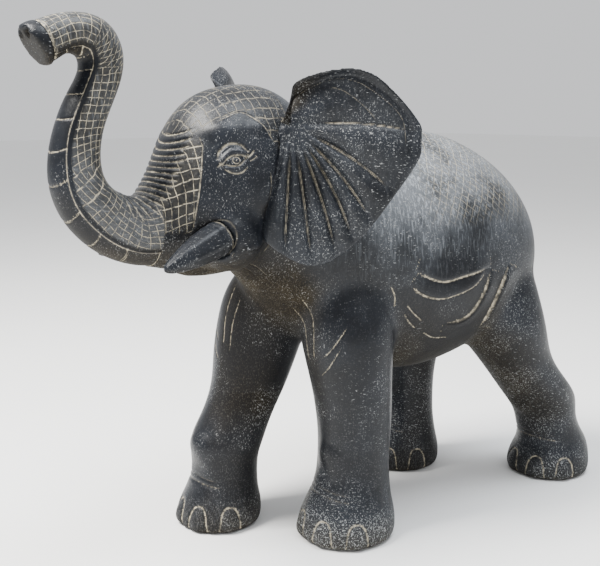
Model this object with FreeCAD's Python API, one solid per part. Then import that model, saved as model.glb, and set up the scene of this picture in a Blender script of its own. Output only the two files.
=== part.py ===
import FreeCAD, Part

import math
import os

# A carved wooden elephant with a raised trunk, glued up from shaped blocks, dowelled,
# and then carved to one flowing form.
# Frame: +Z up, the elephant faces -Y and its left side is +X. The soles stand on z = 0. Millimetres.
# The blocks are laid out about the front left foot, and the whole is centred over the origin at the end.

Vector = FreeCAD.Vector

# ---- Body block ----
BACK_HEIGHT = 389.0        # top of the back
BELLY_HEIGHT = 143.0       # underside of the belly
BODY_WIDTH = 212.0         # widest, over the ribs
CHEST_Y = -20.0            # breastbone, between the front legs
RUMP_Y = 266.0             # furthest back

# ---- Head block ----
POLL_Y = -100.0            # top of the skull
POLL_RISE = 41.0           # the skull stands this much above the back
HEAD_LENGTH = 78.0         # poll forward to the front of the brow
HEAD_HEIGHT = 166.0        # poll down to the jaw line
HEAD_WIDTH = 126.0
CHEEK_WIDTH = 58.0
JAW_REACH = 62.0           # from under the poll forward to the point of the lower lip
NECK_MIDDLE = (-0.74, 0.5)     # middle of the neck's glue face, in shares as for head_point
NECK_LEAN = 26.0           # the glue face leans back at the top by this many degrees

# ---- Trunk, four blocks with the head as the first ----
TRUNK_REACH = 110.0        # from the root forward to the nose
TRUNK_RISE = 206.0         # from the lowest point of the bend up to the top of the curl
TRUNK_ROOT_WIDTH = 64.0
TRUNK_BEND_WIDTH = 49.0
TRUNK_CURL_WIDTH = 38.0
NOSE_WIDTH = 37.0
NOSTRIL_RADIUS = 2.8
NOSTRIL_DEPTH = 10.0
NOSTRIL_SPACING = 12.0

# ---- Legs ----
FRONT_TRACK = 103.0        # between the centre lines of the two front feet
REAR_TRACK = 122.0
FRONT_LEFT_FOOT = (0.0, 94.0)      # place along the body and width across the toes, for each foot
FRONT_RIGHT_FOOT = (-82.0, 84.0)
REAR_LEFT_FOOT = (297.0, 90.0)
REAR_RIGHT_FOOT = (179.0, 86.0)
FRONT_LEG_WIDTH = 64.0     # narrowest, above the toes
REAR_LEG_WIDTH = 66.0
LEG_JOINT_DROP = 7.0       # the legs are glued on this far under the belly

# ---- Ears ----
EAR_REACH = 78.0           # how far the rim stands out from the root
EAR_SWEEP = 98.0           # how far the rim is behind the root
EAR_HEIGHT = 172.0
EAR_THICKNESS = 8.0
RIGHT_EAR_LIFT = 8.0       # carved by eye: the right ear stands this much higher than the left
EAR_ROOT_DEPTH = 9.0       # let into the side of the head

# ---- Tusks ----
TUSK_LENGTH = 66.0         # shoulder to point
TUSK_WIDTH = 29.0
TUSK_SPLAY = 10.0          # degrees outwards
TUSK_DROOP = 19.0          # degrees downwards
TUSK_SPACING = 100.8       # between the shoulders of the two tusks
TUSK_SHOULDER = (0.52, 0.76)           # shares forward of the poll and down the head
TUSK_TAPER = [(0, 1), (0.3, 0.97), (0.6, 0.76), (0.85, 0.45), (0.96, 0.26), (1, 0.1)]
TUSK_TENON_RADIUS = 6.0
TUSK_TENON_LENGTH = 20.0

# ---- Tail ----
TAIL_LENGTH = 120.0
TAIL_WIDTH = 15.0
TAIL_TOP = 305.4           # height of its root
TAIL_INSET = 10.0          # its root starts this far inside the rump
TAIL_TENON_RADIUS = 4.5
TAIL_TENON_LENGTH = 22.0

# ---- Dowels: radius, length and spacing of each joint's pair ----
NECK_DOWELS = (7.0, 70.0, 56.0)
LEG_DOWELS = (6.0, 50.0, 28.0)
TRUNK_ROOT_DOWELS = (4.0, 36.0, 22.0)
TRUNK_UPPER_DOWELS = (3.0, 30.0, 18.0)
TRUNK_TIP_DOWELS = (3.0, 24.0, 12.0)
EAR_DOWELS = (2.5, 30.0, 62.0)
GLUE_GAP = 0.1             # radial room round each dowel and tenon
END_GAP = 1.0              # room past each end of a dowel or tenon

RING_POINTS = 16
LEG_ROUNDNESS = 2.1        # as for ring
EAR_ROUNDNESS = 2.5
FAR = 2000.0
LEFT, RIGHT = 1, -1


# ---- The shapes that every block is made from ----
def ring(centre, side, up, half_side, half_up, half_down, roundness=2.0):
    """The points of a closed section. side and up are unit vectors; roundness 2 is an ellipse."""
    points = []
    for i in range(RING_POINTS):
        turn = math.pi / 2 + 2 * math.pi * i / RING_POINTS
        c, s = math.cos(turn), math.sin(turn)
        across = half_side * math.copysign(abs(c) ** (2 / roundness), c)
        height = (half_up if s > 0 else half_down) * math.copysign(abs(s) ** (2 / roundness), s)
        points.append(centre + side * across + up * height)
    return points


def profile_ring(top, bottom, half_width, roundness=2.0):
    """A section of the body, from its highest and lowest points as (y, z) and its half width."""
    high, low = Vector(0, *top), Vector(0, *bottom)
    half = (high - low).Length / 2
    up = (high - low) / (2 * half)
    return ring((high + low) / 2, Vector(1, 0, 0), up, half_width, half, half, roundness)


def loft(rings):
    """A solid with a smooth skin through all the rings and a flat face at each end."""
    around = list(range(RING_POINTS + 1))
    sections = []
    for points in rings:
        curve = Part.BSplineCurve()
        curve.interpolate(Points=points, PeriodicFlag=True, Parameters=around)
        sections.append(curve)
    along = [0.0]
    for points, following in zip(rings, rings[1:]):
        step = sum((b - a).Length for a, b in zip(points, following)) / RING_POINTS
        along.append(along[-1] + math.sqrt(step))
    lines = []
    for i in range(1, sections[0].NbPoles + 1):
        line = Part.BSplineCurve()
        line.interpolate(Points=[section.getPole(i) for section in sections], Parameters=along)
        lines.append(line)
    skin = Part.BSplineSurface()
    skin.buildFromPolesMultsKnots(
        [line.getPoles() for line in lines], sections[0].getMultiplicities(), lines[0].getMultiplicities(),
        sections[0].getKnots(), lines[0].getKnots(), True, False, sections[0].Degree, lines[0].Degree)
    wall = skin.toShape()
    ends = [edge for edge in wall.Edges if edge.isClosed()]
    caps = [Part.Face(Part.Wire([edge])) for edge in ends]
    skin_and_ends = Part.Shell([wall] + caps)
    skin_and_ends.sewShape()
    return Part.Solid(skin_and_ends)


def turned(start, direction, stations):
    """A round tapered piece: (distance along it, radius) from start."""
    direction = direction / direction.Length
    side = direction.cross(Vector(0, 0, 1))
    side.normalize()
    up = side.cross(direction)
    return loft([ring(start + direction * d, side, up, r, r, r) for d, r in stations])


def half_space(point, normal):
    """Everything on the side of the plane through point that normal points to."""
    block = Part.makeBox(FAR, FAR, FAR, Vector(-FAR / 2, -FAR / 2, 0))
    tilt = FreeCAD.Placement(point, FreeCAD.Rotation(Vector(0, 0, 1), normal))
    block.Placement = tilt.multiply(block.Placement)
    return block


def union(first, *others):
    return first.multiFuse(list(others)).removeSplitter() if others else first


def dowel_pair(centre, axis, spread, size):
    """Two dowels across a glue face, and the bores for them.

    axis and spread are directions, and size is one of the *_DOWELS values.
    """
    radius, length, spacing = size
    axis = axis / axis.Length
    spread = spread / spread.Length
    dowels, bores = [], []
    for side in (-0.5, 0.5):
        start = centre + spread * spacing * side - axis * length / 2
        dowels.append(Part.makeCylinder(radius, length, start, axis))
        mouth = start - axis * END_GAP
        bores.append(Part.makeCylinder(radius + GLUE_GAP, length + 2 * END_GAP, mouth, axis))
    return Part.makeCompound(dowels), bores


# ---- Body ----
def torso_form():
    """The barrel of the body, from the rump forward into the neck."""
    length = RUMP_Y - CHEST_Y
    depth = BACK_HEIGHT - BELLY_HEIGHT

    def station(y_share, top_share, bottom_share, width_share, lean=0.0):
        y = CHEST_Y + length * y_share
        top = (y + lean, BELLY_HEIGHT + depth * top_share)
        bottom = (y - lean, BELLY_HEIGHT + depth * bottom_share)
        return profile_ring(top, bottom, BODY_WIDTH / 2 * width_share, 2.1)

    return loft([
        station(1.00, 0.51, 0.38, 0.14),
        station(0.985, 0.60, 0.27, 0.37),
        station(0.945, 0.69, 0.21, 0.58),
        station(0.88, 0.785, 0.15, 0.76),
        station(0.79, 0.875, 0.10, 0.89),
        station(0.66, 0.955, 0.05, 0.97),
        station(0.51, 1.00, 0.01, 1.00),
        station(0.34, 1.005, 0.01, 0.97),
        station(0.20, 1.01, 0.08, 0.90),
        station(0.09, 1.02, 0.15, 0.82, -4),
        station(-0.02, 1.04, 0.24, 0.71, 9),
        station(-0.11, 1.07, 0.37, 0.61, 16),
        station(-0.18, 1.10, 0.47, 0.54, 21),
    ])


# ---- Head ----
def head_point(forward, down):
    """A point of the side profile as (y, z).

    forward is a share of the head's length in front of the poll, and down a share of its height.
    """
    return (POLL_Y - HEAD_LENGTH * forward, BACK_HEIGHT + POLL_RISE - HEAD_HEIGHT * down)


def head_place(x, forward, down):
    return Vector(x, *head_point(forward, down))


def head_form():
    """The skull from the neck forward to the root of the trunk, with the cheeks and the lower jaw."""
    half = HEAD_WIDTH / 2
    skull = loft([
        profile_ring(head_point(-1.10, 0.24), head_point(-0.60, 0.96), half * 0.74),
        profile_ring(head_point(-0.66, 0.05), head_point(-0.30, 1.00), half * 0.94),
        profile_ring(head_point(-0.24, -0.01), head_point(-0.02, 1.00), half * 1.02),
        profile_ring(head_point(0.18, 0.01), head_point(0.20, 0.99), half * 1.00),
        profile_ring(head_point(0.48, 0.07), head_point(0.42, 0.98), half * 0.91),
        profile_ring(head_point(0.70, 0.18), head_point(0.62, 0.965), half * 0.77),
        profile_ring(head_point(0.86, 0.32), head_point(0.80, 0.955), half * 0.62),
        trunk_section(0),
    ])
    cheeks = []
    for side in (LEFT, RIGHT):
        middle = head_place(side * HEAD_WIDTH * 0.31, 0.34, 0.78)
        cheeks.append(Part.makeSphere(CHEEK_WIDTH / 2, middle))
    jaw_start = head_place(0, 0.0, 0.85)
    jaw_tip = Vector(0, POLL_Y - JAW_REACH, head_point(0, 0.965)[1])
    jaw = turned(jaw_start, jaw_tip - jaw_start, [
        (0, 23), (JAW_REACH * 0.5, 18), (JAW_REACH * 0.85, 10), (JAW_REACH, 4)])
    return union(skull, *cheeks, jaw)


# ---- Trunk ----
def trunk_point(forward, up):
    """A point of the side profile as (y, z), from shares of the trunk's reach and of its rise."""
    root_y, low_z = head_point(1.0, 0.925)
    return (root_y - TRUNK_REACH * forward, low_z + TRUNK_RISE * up)


# Sections along the trunk: the inner point of the bend, the outer point, and where the width
# lies between the named widths.
# The first is the root and the last is the nose.
TRUNK_STATIONS = [
    ((0.055, 0.345), (0.07, 0.00), 1.00),
    ((0.11, 0.305), (0.30, 0.025), 0.72),
    ((0.19, 0.295), (0.53, 0.09), 0.55),
    ((0.28, 0.31), (0.715, 0.19), 0.44),
    ((0.37, 0.345), (0.805, 0.28), 0.36),
    ((0.425, 0.39), (0.84, 0.36), 0.30),
    ((0.445, 0.455), (0.84, 0.445), 0.25),
    ((0.43, 0.53), (0.805, 0.54), 0.20),
    ((0.38, 0.61), (0.745, 0.63), 0.12),
    ((0.31, 0.69), (0.68, 0.70), 0.06),
    ((0.245, 0.78), (0.61, 0.76), 0.02),
    ((0.235, 0.88), (0.575, 0.80), 0.00),
    ((0.325, 0.97), (0.575, 0.838), 0.00),
    ((0.47, 1.01), (0.61, 0.857), 0.00),
    ((0.655, 1.012), (0.655, 0.857), -0.06),
    ((0.82, 0.99), (0.71, 0.838), -0.12),
    ((1.01, 0.955), (0.825, 0.80), -0.12),
]
ROOT_JOINT = 0             # the stations where the blocks meet
UPPER_JOINT = 7
TIP_JOINT = 15


def trunk_half_width(share):
    if share > 0.55:
        wide, narrow, local = TRUNK_ROOT_WIDTH, TRUNK_BEND_WIDTH, (share - 0.55) / 0.45
    elif share >= 0:
        wide, narrow, local = TRUNK_BEND_WIDTH, TRUNK_CURL_WIDTH, share / 0.55
    else:
        wide, narrow, local = TRUNK_CURL_WIDTH, NOSE_WIDTH, 1 + share / 0.12
    return (narrow + (wide - narrow) * local) / 2


def trunk_section(index):
    inner, outer, share = TRUNK_STATIONS[index]
    return profile_ring(trunk_point(*inner), trunk_point(*outer), trunk_half_width(share))


def trunk_form(first, last):
    return loft([trunk_section(i) for i in range(first, last + 1)])


def trunk_joint(index, size):
    """Dowels and bores square to the glue face at one of the stations."""
    inner, outer, _ = TRUNK_STATIONS[index]
    a, b = Vector(0, *trunk_point(*inner)), Vector(0, *trunk_point(*outer))
    along = (a - b).cross(Vector(1, 0, 0))
    return dowel_pair((a + b) / 2, along, Vector(1, 0, 0), size)


def cut_nostrils(tip):
    inner, outer, _ = TRUNK_STATIONS[-1]
    a, b = Vector(0, *trunk_point(*inner)), Vector(0, *trunk_point(*outer))
    inwards = Vector(1, 0, 0).cross(a - b)
    inwards.normalize()
    holes = []
    for side in (LEFT, RIGHT):
        mouth = (a + b) / 2 + Vector(side * NOSTRIL_SPACING / 2, 0, 0)
        holes.append(Part.makeCylinder(NOSTRIL_RADIUS, NOSTRIL_DEPTH + 1, mouth - inwards, inwards))
    return tip.cut(holes)


# ---- Legs ----
def leg_form(side, track, foot, ankle, stations):
    """A leg from the sole up into the body.

    A station is its height, how far it is behind the foot, its width over the ankle's, and how
    far in it is tucked.
    """
    foot_y, foot_width = foot
    ankle_height = foot_width * 0.5
    rings = []
    for height, back, share in [
            (0.0, -3, 0.90), (0.1, -3, 0.99), (0.28, -2, 1.0), (0.55, 0, 0.95), (0.82, 2, 0.86)]:
        rings.append((ankle_height * height, back, foot_width * share, 0))
    rings += [(height, back, ankle * share, tuck) for height, back, share, tuck in stations]
    sections = []
    for height, back, width, tuck in rings:
        middle = Vector(side * (track / 2 - tuck), foot_y + back, height)
        half = width / 2
        sections.append(ring(middle, Vector(1, 0, 0), Vector(0, 1, 0), half, half, half, LEG_ROUNDNESS))
    return loft(sections)


def front_left_leg():
    return leg_form(LEFT, FRONT_TRACK, FRONT_LEFT_FOOT, FRONT_LEG_WIDTH, [
        (56, 5, 1.13, 0), (74, 6, 1.08, 0), (100, 7, 1.09, 0), (136, 5, 1.16, 0), (170, 2, 1.27, 2),
        (204, 2, 1.40, 6), (240, 6, 1.38, 14), (275, 10, 1.1, 26), (296, 12, 0.7, 36)])


def front_right_leg():
    return leg_form(RIGHT, FRONT_TRACK, FRONT_RIGHT_FOOT, FRONT_LEG_WIDTH, [
        (52, 5, 1.03, 0), (68, 6, 1.05, 0), (84, 9, 1.13, 0), (106, 20, 1.11, 0), (136, 35, 1.17, 0),
        (166, 44, 1.31, 0), (200, 52, 1.42, 3), (238, 60, 1.38, 11), (275, 74, 1.05, 26),
        (296, 82, 0.7, 37)])


def rear_left_leg():
    return leg_form(LEFT, REAR_TRACK, REAR_LEFT_FOOT, REAR_LEG_WIDTH, [
        (56, -6, 1.05, 0), (74, -13, 1.05, 0), (94, -24, 1.19, 0), (122, -49, 1.2, 0), (148, -70, 1.25, 2),
        (180, -88, 1.48, 6), (215, -99, 1.58, 13),
        (255, -105, 1.45, 22), (290, -110, 1.1, 36), (310, -112, 0.7, 46)])


def rear_right_leg():
    return leg_form(RIGHT, REAR_TRACK, REAR_RIGHT_FOOT, REAR_LEG_WIDTH, [
        (56, 3, 1.0, 0), (74, 3, 0.97, 0), (100, 2, 1.0, 0), (136, 3, 1.1, 2), (170, 8, 1.33, 7),
        (210, 12, 1.5, 14), (250, 14, 1.45, 22), (290, 16, 1.1, 36), (310, 16, 0.7, 46)])





def leg_joint(leg, z):
    """Dowels and bores at the middle of the glue face of a leg, along the leg's own slope."""
    lower, upper = [level_middle(leg, z + rise) for rise in (-LEG_DOWELS[1] / 2, LEG_DOWELS[1] / 2)]
    return dowel_pair(level_middle(leg, z), upper - lower, Vector(1, 0, 0), LEG_DOWELS)


def level_middle(shape, z):
    """The middle of a level slice of a shape."""
    slab = shape.common(Part.makeBox(FAR, FAR, 1, Vector(-FAR / 2, -FAR / 2, z - 0.5)))
    return Vector(slab.CenterOfGravity.x, slab.CenterOfGravity.y, z)


# ---- Ears ----
# Sections from the root to the rim: how far out, then how far back and how high for the lower and
# the upper edge, as shares of the reach, the sweep and the height, and the share of the thickness.
EAR_STATIONS = [
    (0.00, (-0.19, -0.34), (0.17, 0.386), 1.45),
    (0.08, (-0.13, -0.40), (0.19, 0.415), 1.35),
    (0.27, (0.19, -0.51), (0.35, 0.46), 1.15),
    (0.47, (0.40, -0.46), (0.49, 0.475), 1.0),
    (0.66, (0.59, -0.34), (0.63, 0.445), 1.0),
    (0.83, (0.77, -0.17), (0.76, 0.365), 0.95),
    (0.95, (0.91, -0.03), (0.89, 0.27), 0.85),
    (1.00, (0.97, 0.05), (0.97, 0.19), 0.6),
]


def ear_root(side):
    """The middle of the ear's root, inside the head."""
    lift = RIGHT_EAR_LIFT if side == RIGHT else 0
    return head_place(side * (HEAD_WIDTH / 2 - EAR_ROOT_DEPTH), -0.19, 0.41) + Vector(0, 0, lift)


def ear_flare(side):
    flare = Vector(side * EAR_REACH, EAR_SWEEP, 0)
    return flare / flare.Length


def ear_form(side):
    """A thin board that stands off the neck, with its edges along EAR_STATIONS."""
    rings = []
    for out, lower, upper, thickness in EAR_STATIONS:
        low, high = [ear_root(side) + Vector(side * EAR_REACH * out, EAR_SWEEP * back, EAR_HEIGHT * height)
                     for back, height in (lower, upper)]
        half = (high - low).Length / 2
        up = (high - low) / (2 * half)
        through = ear_flare(side).cross(up)
        through.normalize()
        thick = EAR_THICKNESS * thickness / 2
        rings.append(ring((low + high) / 2, through, up, thick, half, half, EAR_ROUNDNESS))
    return loft(rings)


def ear_joint(side):
    return dowel_pair(ear_root(side), ear_flare(side), Vector(0, 0.28, 0.96), EAR_DOWELS)


# ---- Tusks ----
def tusk_parts(side):
    """The tusk with its tenon, the part that is let into the cheek, and the bore for the tenon."""
    splay, droop = math.radians(TUSK_SPLAY), math.radians(TUSK_DROOP)
    level = math.cos(droop)
    axis = Vector(side * math.sin(splay) * level, -math.cos(splay) * level, -math.sin(droop))
    shoulder = head_place(side * TUSK_SPACING / 2, *TUSK_SHOULDER)
    horn = turned(shoulder, axis, [
        (TUSK_LENGTH * along, TUSK_WIDTH / 2 * share) for along, share in TUSK_TAPER])
    tenon = Part.makeCylinder(TUSK_TENON_RADIUS, TUSK_TENON_LENGTH + 1, shoulder + axis, -axis)
    bore = Part.makeCylinder(TUSK_TENON_RADIUS + GLUE_GAP, TUSK_TENON_LENGTH + END_GAP, shoulder, -axis)
    return union(horn, tenon), horn, bore


# ---- Tail ----
def tail_parts():
    """The tail hangs down the rump from a tenon in the body: the tail, and the bore for its tenon."""
    r = TAIL_WIDTH / 2
    start = Vector(0, RUMP_Y - TAIL_INSET, TAIL_TOP)
    rings = []
    for drop, back, share in [
            (-0.02, 0, 1.0), (0.06, 12, 1.0), (0.2, 20, 0.9), (0.45, 22, 0.75), (0.7, 20, 0.62),
            (0.8, 19, 0.85), (0.9, 18, 0.9), (1.0, 17, 0.3)]:
        middle = start + Vector(0, back, -TAIL_LENGTH * drop)
        rings.append((middle, share * r))
    sections = []
    for i, (middle, radius) in enumerate(rings):
        before, after = rings[max(i - 1, 0)][0], rings[min(i + 1, len(rings) - 1)][0]
        along = (after - before) / (after - before).Length
        sections.append(ring(middle, Vector(1, 0, 0), along.cross(Vector(1, 0, 0)), radius, radius, radius))
    inwards = Vector(0, -1, 0)
    mouth = start + Vector(0, 4, 0)
    tenon = Part.makeCylinder(TAIL_TENON_RADIUS, TAIL_TENON_LENGTH, mouth, inwards)
    bore = Part.makeCylinder(TAIL_TENON_RADIUS + GLUE_GAP, TAIL_TENON_LENGTH + END_GAP, mouth, inwards)
    return union(loft(sections), tenon), bore


def build():
    neck = head_place(0, *NECK_MIDDLE)
    lean = math.radians(NECK_LEAN)
    neck_axis = Vector(0, -math.cos(lean), math.sin(lean))
    leg_z = BELLY_HEIGHT - LEG_JOINT_DROP
    below = half_space(Vector(0, 0, leg_z), Vector(0, 0, -1))
    above = half_space(Vector(0, 0, leg_z), Vector(0, 0, 1))
    front = half_space(neck, neck_axis)
    behind = half_space(neck, -neck_axis)
    legs = {"leg_front_left": front_left_leg(), "leg_front_right": front_right_leg(),
            "leg_rear_left": rear_left_leg(), "leg_rear_right": rear_right_leg()}
    form = union(torso_form(), head_form())
    nodes = {}
    torso = union(form.common(behind), *[leg.common(above) for leg in legs.values()])
    head = form.common(front)
    trunk_root, trunk_upper = trunk_form(ROOT_JOINT, UPPER_JOINT), trunk_form(UPPER_JOINT, TIP_JOINT)
    trunk_tip = cut_nostrils(trunk_form(TIP_JOINT, len(TRUNK_STATIONS) - 1))
    for name, leg in legs.items():
        dowels, bores = leg_joint(leg, leg_z)
        nodes[name] = leg.common(below).cut(bores)
        torso = torso.cut(bores)
        nodes[name + "_dowels"] = dowels
    nodes["neck_dowels"], bores = dowel_pair(neck, neck_axis, Vector(1, 0, 0), NECK_DOWELS)
    torso, head = torso.cut(bores), head.cut(bores)
    nodes["trunk_root_dowels"], bores = trunk_joint(ROOT_JOINT, TRUNK_ROOT_DOWELS)
    head, trunk_root = head.cut(bores), trunk_root.cut(bores)
    nodes["trunk_upper_dowels"], bores = trunk_joint(UPPER_JOINT, TRUNK_UPPER_DOWELS)
    trunk_root, trunk_upper = trunk_root.cut(bores), trunk_upper.cut(bores)
    nodes["trunk_tip_dowels"], bores = trunk_joint(TIP_JOINT, TRUNK_TIP_DOWELS)
    nodes["trunk_upper"], nodes["trunk_tip"] = trunk_upper.cut(bores), trunk_tip.cut(bores)
    nodes["trunk_root"] = trunk_root
    for side, hand in ((LEFT, "left"), (RIGHT, "right")):
        ear = ear_form(side)
        nodes["ear_" + hand + "_dowels"], bores = ear_joint(side)
        head = head.cut([ear] + bores)
        nodes["ear_" + hand] = ear.cut(bores)
        tusk, let_in, bore = tusk_parts(side)
        head = head.cut([let_in, bore])
        nodes["tusk_" + hand] = tusk
    tail, bore = tail_parts()
    nodes["tail"] = tail.cut(torso)
    torso = torso.cut(bore)
    nodes["torso_block"] = torso
    nodes["head_block"] = head
    return nodes


def stand_over_origin(nodes):
    """Puts the origin under the middle of the whole elephant."""
    box = Part.makeCompound(list(nodes.values())).optimalBoundingBox()
    middle = Vector((box.XMin + box.XMax) / 2, (box.YMin + box.YMax) / 2, box.ZMin)
    for shape in nodes.values():
        shape.translate(-middle)
    return middle


def main():
    os.makedirs("parts", exist_ok=True)
    nodes = build()
    middle = stand_over_origin(nodes)
    for name, shape in sorted(nodes.items()):
        shape.exportStep("parts/" + name + ".step")
        print(name, len(shape.Solids), "solids", round(shape.Volume / 1000), "cm3", shape.isValid())
    print("moved by", middle)


main()
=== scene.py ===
# %% [markdown]
# # A carved wooden elephant
# The elephant is glued up from blocks of soft hardwood, carved while it is one lump, stained nearly
# black, rubbed with white wax so that the wax stays in every cut, and polished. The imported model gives
# the blocks and where they meet. This lesson carves them: first the whole blank, then each mark of the
# chisel, then the finish.

# %% Load the frame
import math

import bmesh
import bpy
import numpy as np
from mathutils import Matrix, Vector
from mathutils.bvhtree import BVHTree


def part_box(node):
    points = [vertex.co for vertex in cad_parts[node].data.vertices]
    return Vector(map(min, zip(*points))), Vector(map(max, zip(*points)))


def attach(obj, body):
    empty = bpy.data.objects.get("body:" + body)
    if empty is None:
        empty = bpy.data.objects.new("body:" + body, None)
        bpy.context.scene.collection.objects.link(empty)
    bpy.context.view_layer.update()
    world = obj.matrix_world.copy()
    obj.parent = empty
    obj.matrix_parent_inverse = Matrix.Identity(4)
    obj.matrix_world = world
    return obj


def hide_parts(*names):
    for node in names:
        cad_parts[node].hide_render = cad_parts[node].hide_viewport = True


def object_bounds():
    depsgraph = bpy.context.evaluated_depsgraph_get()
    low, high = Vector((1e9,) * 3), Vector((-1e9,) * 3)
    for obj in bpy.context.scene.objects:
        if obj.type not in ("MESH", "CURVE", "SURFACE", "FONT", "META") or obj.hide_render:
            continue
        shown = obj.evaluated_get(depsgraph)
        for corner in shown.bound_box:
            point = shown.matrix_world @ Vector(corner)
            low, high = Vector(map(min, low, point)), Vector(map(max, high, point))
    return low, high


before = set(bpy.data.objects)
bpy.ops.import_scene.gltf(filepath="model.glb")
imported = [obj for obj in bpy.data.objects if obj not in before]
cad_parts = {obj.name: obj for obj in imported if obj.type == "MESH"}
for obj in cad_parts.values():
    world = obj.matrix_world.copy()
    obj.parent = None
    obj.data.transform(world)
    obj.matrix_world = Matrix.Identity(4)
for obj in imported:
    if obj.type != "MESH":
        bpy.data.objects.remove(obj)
CAD_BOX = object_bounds()
MM = 0.001
LEFT, RIGHT = 1, -1
SIDES = ((LEFT, "left"), (RIGHT, "right"))
LEGS = ["leg_front_left", "leg_front_right", "leg_rear_left", "leg_rear_right"]
TRUNK = ["trunk_root", "trunk_upper", "trunk_tip"]
print("CAD box", [round(c, 4) for c in CAD_BOX[0]], [round(c, 4) for c in CAD_BOX[1]])

# %% [markdown]
# ## Places
# Every mark is placed by shares of the block that it is cut in: 0 is the block's front or underside
# and 1 its back or top. A share stays true if the blocks are made larger, and a number in metres would
# not.

# %% Places as shares of a block
def place(node, back, up):
    """The (y, z) of a share of a block's length and height."""
    low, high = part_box(node)
    return low.y + (high.y - low.y) * back, low.z + (high.z - low.z) * up


def places(node, shares):
    return [place(node, *share) for share in shares]


HEAD_LOW, HEAD_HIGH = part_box("head_block")
TORSO_LOW, TORSO_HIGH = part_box("torso_block")
print("head block", [round(v / MM) for v in HEAD_HIGH - HEAD_LOW], "mm")

# %% [markdown]
# ## The blank
# The blocks meet in hard corners that a carver rounds over before any detail. The copies are joined,
# and a voxel remesh turns them into one even skin. Even quads matter here, because the chisel below
# moves the skin's own points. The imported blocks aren't changed: the copies are.

# %% One skin over all the blocks
SKIN = 2.4 * MM         # size of the quads on the body


def placed(name, data):
    """A new object in the scene."""
    made = bpy.data.objects.new(name, data)
    bpy.context.scene.collection.objects.link(made)
    return made


def joined(names):
    """A bmesh with copies of these packed blocks."""
    made = bmesh.new()
    for name in names:
        made.from_mesh(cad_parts[name].data)
    return made


def remeshed(names, size):
    """A mesh of even quads over copies of these blocks."""
    rough = bpy.data.meshes.new("rough")
    blocks = joined(names)
    blocks.to_mesh(rough)
    blocks.free()
    holder = placed("rough", rough)
    remesh = holder.modifiers.new("skin", "REMESH")
    remesh.mode, remesh.voxel_size = "VOXEL", size
    graph = bpy.context.evaluated_depsgraph_get()
    mesh = bpy.data.meshes.new_from_object(holder.evaluated_get(graph), depsgraph=graph)
    bpy.data.objects.remove(holder)
    bpy.data.meshes.remove(rough)
    return mesh


blank = remeshed(["torso_block", "head_block", *TRUNK, *LEGS], SKIN)
print("blank:", len(blank.polygons), "faces")

# %% [markdown]
# ## Hands on the skin
# The carving is done with arrays: all the points at once, with their normals and their neighbours.
# Smoothing moves each point towards the middle of its neighbours. A crease is a place where that middle
# lies outside the skin, so the same sum that smooths also says where two blocks meet.

# %% Points, normals and neighbours
def read(items, name, width, kind=np.float32):
    """One property of all the points or edges of a mesh, as the rows of an array."""
    flat = np.empty(len(items) * width, kind)
    items.foreach_get(name, flat)
    return flat.reshape(-1, width)


def points_of(mesh):
    return read(mesh.vertices, "co", 3).astype(float)


def normals_of(mesh):
    return read(mesh.vertex_normals, "vector", 3).astype(float)


def pairs_of(mesh):
    return read(mesh.edges, "vertices", 2, np.int32)


def move_to(mesh, points):
    mesh.vertices.foreach_set("co", points.astype(np.float32).ravel())
    mesh.update()


def spread(values, pairs):
    """Each point's mean over its neighbours."""
    count = np.bincount(pairs.ravel(), minlength=len(values)).clip(1)
    columns = values.reshape(len(values), -1)
    total = np.stack([np.bincount(pairs[:, 0], c[pairs[:, 1]], len(values))
                      + np.bincount(pairs[:, 1], c[pairs[:, 0]], len(values)) for c in columns.T], 1)
    return (total / count[:, None]).reshape(values.shape)


def smooth(mesh, rounds, mask=1.0, strength=0.6):
    points, pairs = points_of(mesh), pairs_of(mesh)
    amount = np.broadcast_to(mask, len(points))[:, None] * strength
    for _ in range(rounds):
        points += (spread(points, pairs) - points) * amount
    move_to(mesh, points)


def hollows(mesh):
    """How far the mean of each point's neighbours lies outside the skin."""
    points = points_of(mesh)
    return ((spread(points, pairs_of(mesh)) - points) * normals_of(mesh)).sum(1)


# %% Round over the corners between the blocks
CREASE = 0.12 * MM      # a neighbour mean this far outside the skin is a crease
CREASE_ROUNDS = 7       # how far the rounding spreads, in quads

pairs = pairs_of(blank)
crease = (hollows(blank) > CREASE).astype(float)
for _ in range(CREASE_ROUNDS):
    crease = np.maximum(crease, spread(crease, pairs) * 1.25).clip(0, 1)
smooth(blank, 45, crease)
smooth(blank, 6)
print("creased points:", int((crease > 0.5).sum()))

# %% [markdown]
# ## Finer skin where the chisel is busy
# Small marks need small quads. Those of the face, the trunk and the toes are split once, and so are the
# flanks and the chest, where folds and cuts run. The quads round the eyes are split twice. The back,
# the rump and the legs keep the larger ones.

# %% Split the quads where small marks go
TOE_HEIGHT = 0.42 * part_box("leg_front_left")[1].z
FACE_Y, FACE_Z = place("head_block", 0.67, 0.0)
EYE_Y, EYE_Z = place("head_block", 0.326, 0.646)
EYE_REACH = 24 * MM


def torso_shares(p):
    """For each point, its shares of the torso block's length and height."""
    return ((p[:, 1] - TORSO_LOW.y) / (TORSO_HIGH.y - TORSO_LOW.y),
            (p[:, 2] - TORSO_LOW.z) / (TORSO_HIGH.z - TORSO_LOW.z))


def toes_and_face(p):
    return (p[:, 2] < TOE_HEIGHT) | ((p[:, 1] < FACE_Y) & (p[:, 2] > FACE_Z))


def flanks_and_chest(p):
    back, up = torso_shares(p)
    flank = (back > 0.28) & (back < 0.72) & (up > 0.14) & (up < 0.52) & (abs(p[:, 0]) > 0.5 * TORSO_HIGH.x)
    return flank | ((back < 0.24) & (up > 0.05) & (up < 0.60))


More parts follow.
